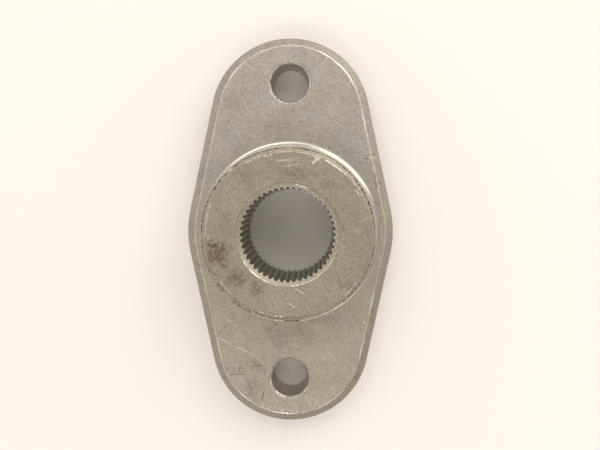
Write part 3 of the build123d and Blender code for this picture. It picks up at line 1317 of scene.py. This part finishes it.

# %% [markdown]
# ## Pressed steel
# This is the finish of every face that a punch pressed: the flange, the bevels and the hub's end. It
# is metal through and through, warm grey and quite rough, but the tool's bevels and the fillet are
# burnished. The next cells lay it up from below: first the metal with its grain, then film, stains,
# smudges, dirt and painted shade, and last the bright rims and scratches with painted highlights.

# %% Pressed steel: where, grain and burnish
FLANGE_DARK = (0.312, 0.283, 0.236)
FLANGE_LIGHT = (0.498, 0.457, 0.392)
HUB_DARK = (0.268, 0.232, 0.175)
HUB_LIGHT = (0.424, 0.370, 0.285)
GREY_TINT = (0.975, 0.99, 1.00)
TAN_TINT = (1.02, 1.00, 0.955)
BURNISHED = (0.455, 0.398, 0.300)
FILLET_COLOR = (0.560, 0.520, 0.445)
PORE_COLOR = (0.080, 0.064, 0.044)
BRIGHT_COLOR = (0.90, 0.86, 0.77)
# Heights between which a layer fades in or out
FLANGE_MARKS_FROM = (8.3, 8.7)
HUB_MARKS_FROM = (19.8, 20.2)
FILLET_FROM = (9.0, 9.4)
FILLET_UP_TO = (20.2, 19.6)

pressed, tree, shader = new_material("pressed steel")
place = in_millimetres(tree)
uneven = use(unevenness, Place=place)
where = use(place_on_part, Place=place)
near = use(place_on_part, Place=uneven["Wavy Place"])
from_axis, height = where["From Axis"], where["Height"]
on_hub = step_between(height, *HUB_MARKS_FROM)
on_flange = step_between(height, *FLANGE_MARKS_FROM)

grain = use(pressed_grain, Place=place)
tone = limit(grain["Tone"])
color = mix(on_hub, mix(tone, FLANGE_DARK, FLANGE_LIGHT), mix(tone, HUB_DARK, HUB_LIGHT))
color = mix(1.0, color, mix(grain["Hue"], GREY_TINT, TAN_TINT), "MULTIPLY")

on_bevel = step_between(from_axis, bevel_end - 0.02, bevel_end + 0.08)
in_cone = step_between(from_axis, COUNTERSINK_RADIUS + 0.02, COUNTERSINK_RADIUS - 0.08)
burnish = times(calc("MAXIMUM", on_bevel, in_cone), on_hub)
color = mix(times(burnish, 0.5), color, BURNISHED)
fillet_end = HUB_RADIUS + FOOT_FILLET
fillet = times(
    step_between(from_axis, fillet_end + 0.1, fillet_end - 0.5),
    step_between(height, *FILLET_UP_TO),
    step_between(height, *FILLET_FROM),
)
color = mix(times(fillet, 0.8), color, FILLET_COLOR)
pores = times(grain["Pores"], calc("MULTIPLY_ADD", burnish, -0.6, 0.85))
color = mix(pores, color, PORE_COLOR)
color = mix(times(grain["Glints"], 0.45), color, BRIGHT_COLOR)
print("grain and burnish laid")

# %% [markdown]
# A warm film covers the flange and grows towards its lower end. Oil has stained the hub: its borders
# are ragged and it is speckled by the grain, because it soaks into the pores. Dull stains lie on the
# flange, with painted shade under the hub. Dirt has packed behind the ridge of the hub's outer rim, and
# painted shade darkens the gap at its edge.

# %% Pressed steel: film, stains, dirt and painted shade
FILM_TINT = (0.955, 0.925, 0.86)
OIL_COLOR = (0.158, 0.114, 0.068)
RIM_OIL_COLOR = (0.270, 0.168, 0.062)
# The smudge colour also paints the shade on the flange under the hub
SMUDGE_AND_SHADE_COLOR = (0.130, 0.118, 0.094)
# The dirt colour also paints the shade in the gap at the hub's rim and in the pits
DIRT_AND_SHADE_COLOR = (0.034, 0.022, 0.011)
# The film grows over this stretch, in millimetres below the bore's axis
FILM_STRETCH = (-26.0, 24.0)

lower_end = calc("MULTIPLY_ADD", uneven["Ragged"], 5.0, dot(place, (0, -1, 0)))
film = times(step_between(lower_end, *FILM_STRETCH), calc("SUBTRACT", 1.0, on_hub))
color = mix(film, color, mix(1.0, color, FILM_TINT, "MULTIPLY"))

stains = lay_patches(uneven, HUB_STAINS, HUB_TOP, raggedness=0.55)
pepper = calc("MULTIPLY_ADD", contrast(grain["Tone"], 1.0), -0.22, uneven["Breaks"])
speckled = step_between(pepper, 0.38, 0.64, from_value=0.45, to_value=1.3)
stains = limit(times(stains, speckled))
color = mix(stains, color, OIL_COLOR)
# Dull stains on the flange, and painted shade where the flange lies under the hub
dull_stains_and_shade = lay_patches(uneven, FLANGE_STAINS_AND_SHADE, FLANGE_TOP, raggedness=0.55)
dull_stains_and_shade = times(dull_stains_and_shade, speckled)
color = mix(dull_stains_and_shade, color, SMUDGE_AND_SHADE_COLOR)
rim_oil = times(lay_arcs(uneven, OIL_ARCS, "Fine Breaks", broken=0.45), on_hub, 0.75)
color = mix(rim_oil, color, RIM_OIL_COLOR)
# Dark smudges, and one patch of painted shade on the flange's upper right bevel
smudges_and_shade = calc(
    "MAXIMUM",
    times(lay_scratches(uneven, FLANGE_SMUDGES_AND_SHADE, FLANGE_TOP, "Breaks", patchy=0.3), on_flange),
    lay_scratches(uneven, HUB_SMUDGES, HUB_TOP, "Breaks", patchy=0.3),
)
color = mix(times(smudges_and_shade, 0.9), color, SMUDGE_AND_SHADE_COLOR)
pits = strongest(
    lay_patch(uneven, seen_at(pixel, FLANGE_TOP), (size, size, 1.0), raggedness=0.15)
    for pixel, size in FLANGE_PITS.values()
)
color = mix(times(pits, 0.9), color, DIRT_AND_SHADE_COLOR)
# Dirt packed at the hub's outer rim, and painted shade in the gap at its edge
dirt_and_shade = times(lay_arcs(uneven, RIM_DIRT_AND_SHADE_ARCS, "Fine Breaks", broken=0.58), on_hub)
color = mix(times(dirt_and_shade, 0.95), color, DIRT_AND_SHADE_COLOR)
print("film, stains and dirt laid")

# %% [markdown]
# What rubs against the part brightens whatever stands proud: the crest of the flange's bevel, the
# hub's rims, the burr round the teeth and the walls of every scratch. Painted highlights lie over the
# crest and the rims, over the burr on the side towards the window, and all round the bolt holes'
# mouths.

# %% Pressed steel: bright wear and painted highlights
CREST_WIDTH = 0.30
LEAST_CREST_WEAR_AND_HIGHLIGHT = 0.3
TOOTH_BURR = 0.11
BURR_HIGHLIGHT_WAY = (0.6, 0.8, 0)
MOUTH_RING_WIDTH = 0.54

scratched = calc(
    "MAXIMUM",
    lay_scratches(uneven, FLANGE_SCRATCHES, FLANGE_TOP, "Fine Breaks", patchy=0.62),
    lay_scratches(uneven, HUB_SCRATCHES, HUB_TOP, "Fine Breaks", patchy=0.55),
)
# The crest's bright band is worn metal with a painted highlight on it
crest = use(
    band, Distance=near["Inset"], Middle=BEVEL_WIDTH + 0.03, Width=CREST_WIDTH,
    Breaks=uneven["Breaks"], Broken=0.22)["Mask"]
crest_wear_and_highlight = lay_patches(uneven, CREST_WEAR_AND_HIGHLIGHT, FLANGE_TOP, raggedness=0.25, depth=4.0)
crest = times(crest, calc("MAXIMUM", crest_wear_and_highlight, LEAST_CREST_WEAR_AND_HIGHLIGHT), on_flange)
# The bright arcs on the hub's rims are worn metal with painted highlights
rims = calc(
    "MAXIMUM",
    lay_arcs(uneven, BRIGHT_ARCS, "Breaks", broken=0.42),
    lay_arcs(uneven, DOTTED_ARCS, "Fine Breaks", broken=0.70),
)
rims = times(rims, on_hub)
burr = use(
    band, Distance=where["Past Teeth"], Middle=TOOTH_BURR / 2, Width=TOOTH_BURR * 2,
    Breaks=uneven["Breaks"], Broken=0.35)["Mask"]
# The burr is painted brighter on the side towards the window, a painted highlight
burr_highlight_side = step_between(dot(place, BURR_HIGHLIGHT_WAY), -1.0, 5.0, from_value=0.15, to_value=0.8)
burr = times(burr, burr_highlight_side, on_hub)
# The bolt holes' mouths are painted bright all round, a painted highlight in place of their reflection
mouth_highlights = use(
    band, Distance=near["From Hole"], Middle=BOLT_RADIUS + MOUTH_BREAK / 2, Width=MOUTH_RING_WIDTH,
    Breaks=uneven["Breaks"], Broken=0.40)["Mask"]
mouth_grain = step_between(grain["Tone"], 0.1, 0.8, from_value=0.2, to_value=1.0)
mouth_highlights = times(mouth_highlights, mouth_grain, on_flange)
bright = strongest([crest, rims, burr, mouth_highlights, scratched])
color = mix(times(bright, 0.8), color, BRIGHT_COLOR)
print("bright wear and painted highlights laid")

# %% [markdown]
# The same masks set the gloss and the relief. Worn, oiled and burnished metal, and metal painted
# bright, is smoother than the grain round it, and scratches, pits and the dark groove at the hub's rim
# lie lower.

# %% Pressed steel: gloss and relief
PRESSED_DEPTH = 0.02

roughness = calc("MULTIPLY_ADD", contrast(grain["Tone"], 1.0), 0.10, 0.52)
smoother = strongest([times(bright, 0.45), times(stains, 0.5)])
roughness = calc("MULTIPLY_ADD", smoother, -0.33, roughness)
roughness = calc("MULTIPLY_ADD", fillet, -0.34, roughness)
smoothed = calc("MAXIMUM", fillet, calc("MAXIMUM", bright, burnish))
relief = times(grain["Height"], calc("MULTIPLY_ADD", smoothed, -0.85, 1.0))
for mask, sunk in ((scratched, 1.2), (pits, 4.0), (dirt_and_shade, 2.0)):
    relief = calc("MULTIPLY_ADD", mask, -sunk, relief)
finish_steel(pressed, shader, color, roughness, relief, PRESSED_DEPTH)

# %% [markdown]
# ## Drawn walls
# The outer wall, the hub's wall and the bolt holes slid along the die when the part was pushed out.
# That leaves them smoother than the pressed faces, with fine upright draw lines: noise that is
# stretched along Z, in the colour, the roughness and the relief.

# %% Drawn steel
WALL_DARK = (0.400, 0.370, 0.310)
WALL_LIGHT = (0.620, 0.585, 0.505)
DRAW_LINES_PER_MM = 5.0
DRAW_STRETCH = 0.03
DRAWN_DEPTH = 0.006

draw_lines, given, results = new_group(
    "draw lines", {"Place": ORIGIN, "Lines Per Mm": DRAW_LINES_PER_MM}, ["Lines"]
)
stretched = calc_vector("MULTIPLY", given["Place"], (1, 1, DRAW_STRETCH))
feed(results["Lines"], noise(stretched, given["Lines Per Mm"], 3.0))

drawn, tree, shader = new_material("drawn steel")
place = in_millimetres(tree)
grain = use(pressed_grain, Place=place, Pore_Share=0.35)
lines = use(draw_lines, Place=place)["Lines"]
tone = calc("MULTIPLY_ADD", lines, 0.8, times(grain["Tone"], 0.3))
color = mix(step_between(tone, 0.38, 0.72), WALL_DARK, WALL_LIGHT)
color = mix(times(grain["Pores"], 0.6), color, PORE_COLOR)
roughness = calc("MULTIPLY_ADD", tone, 0.3, 0.22)
relief = calc("MULTIPLY_ADD", grain["Height"], 0.2, lines)
finish_steel(drawn, shader, color, roughness, relief, DRAWN_DEPTH)

# %% [markdown]
# ## Serrations
# Inside the bore the teeth are burnished by the shaft. A point's distance from the axis tells root from
# tip: the roots are painted dark, as painted shade in the creases, and dull, and the tips lighter, as a
# painted highlight, with a brown film that comes and goes.

# %% Serration steel
# The roots' colour is painted shade and the tips' colour a painted highlight
ROOT_SHADE_COLOR = (0.330, 0.305, 0.250)
FLANK_COLOR = (0.500, 0.480, 0.410)
TIP_HIGHLIGHT_COLOR = (0.600, 0.570, 0.490)
OIL_FILM_TINT = (0.62, 0.50, 0.36)
SERRATION_DEPTH = 0.008

serration, tree, shader = new_material("serration steel")
place = in_millimetres(tree)
from_axis = use(place_on_part, Place=place)["From Axis"]
uneven = use(unevenness, Place=place)
lines = use(draw_lines, Place=place, Lines_Per_Mm=DRAW_LINES_PER_MM * 2)["Lines"]
# Roots painted dark as painted shade and made duller; tips painted lighter as a painted highlight
dull = step_between(from_axis, ROOT_RADIUS - 0.30, ROOT_RADIUS - 0.05)
tip = step_between(from_axis, TIP_RADIUS + 0.10, TIP_RADIUS)
color = mix(dull, FLANK_COLOR, ROOT_SHADE_COLOR)
color = mix(times(tip, lines), color, TIP_HIGHLIGHT_COLOR)
filmed = times(step_between(uneven["Ragged"], -0.2, 0.8), 0.5)
color = mix(filmed, color, mix(1.0, color, OIL_FILM_TINT, "MULTIPLY"))
roughness = calc("MULTIPLY_ADD", lines, 0.25, 0.30)
roughness = calc("MULTIPLY_ADD", dull, 0.2, roughness)
finish_steel(serration, shader, color, roughness, lines, SERRATION_DEPTH)

# %% [markdown]
# ## Giving the faces their finish
# Upright faces are drawn walls and all others are pressed, apart from the bore, whose upright faces
# are the serrations. Faces are picked by their normal and place and assigned as by hand.

# %% Assign the finishes
UPRIGHT = 0.2


def assign(obj, material, test):
    """Gives a material to the faces whose centre and normal pass the test."""
    start_edit(obj)
    bpy.ops.mesh.select_mode(type="FACE")
    mesh = bmesh.from_edit_mesh(obj.data)
    for face in mesh.faces:
        face.select_set(test(face.calc_center_median(), face.normal))
    bmesh.update_edit_mesh(obj.data)
    obj.active_material_index = obj.data.materials.find(material.name)
    bpy.ops.object.material_slot_assign()
    count = sum(face.select for face in mesh.faces)
    end_edit()
    return count


walls = assign(adapter, drawn, lambda place, normal: abs(normal.z) < UPRIGHT)
teeth = assign(
    adapter, serration,
    lambda place, normal: abs(normal.z) < UPRIGHT and place.to_2d().length < in_bore,
)
print("faces:", walls, "upright, of them", teeth, "in the teeth")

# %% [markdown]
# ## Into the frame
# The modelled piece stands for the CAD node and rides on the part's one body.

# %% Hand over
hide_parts(NODE)
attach(adapter, "root")
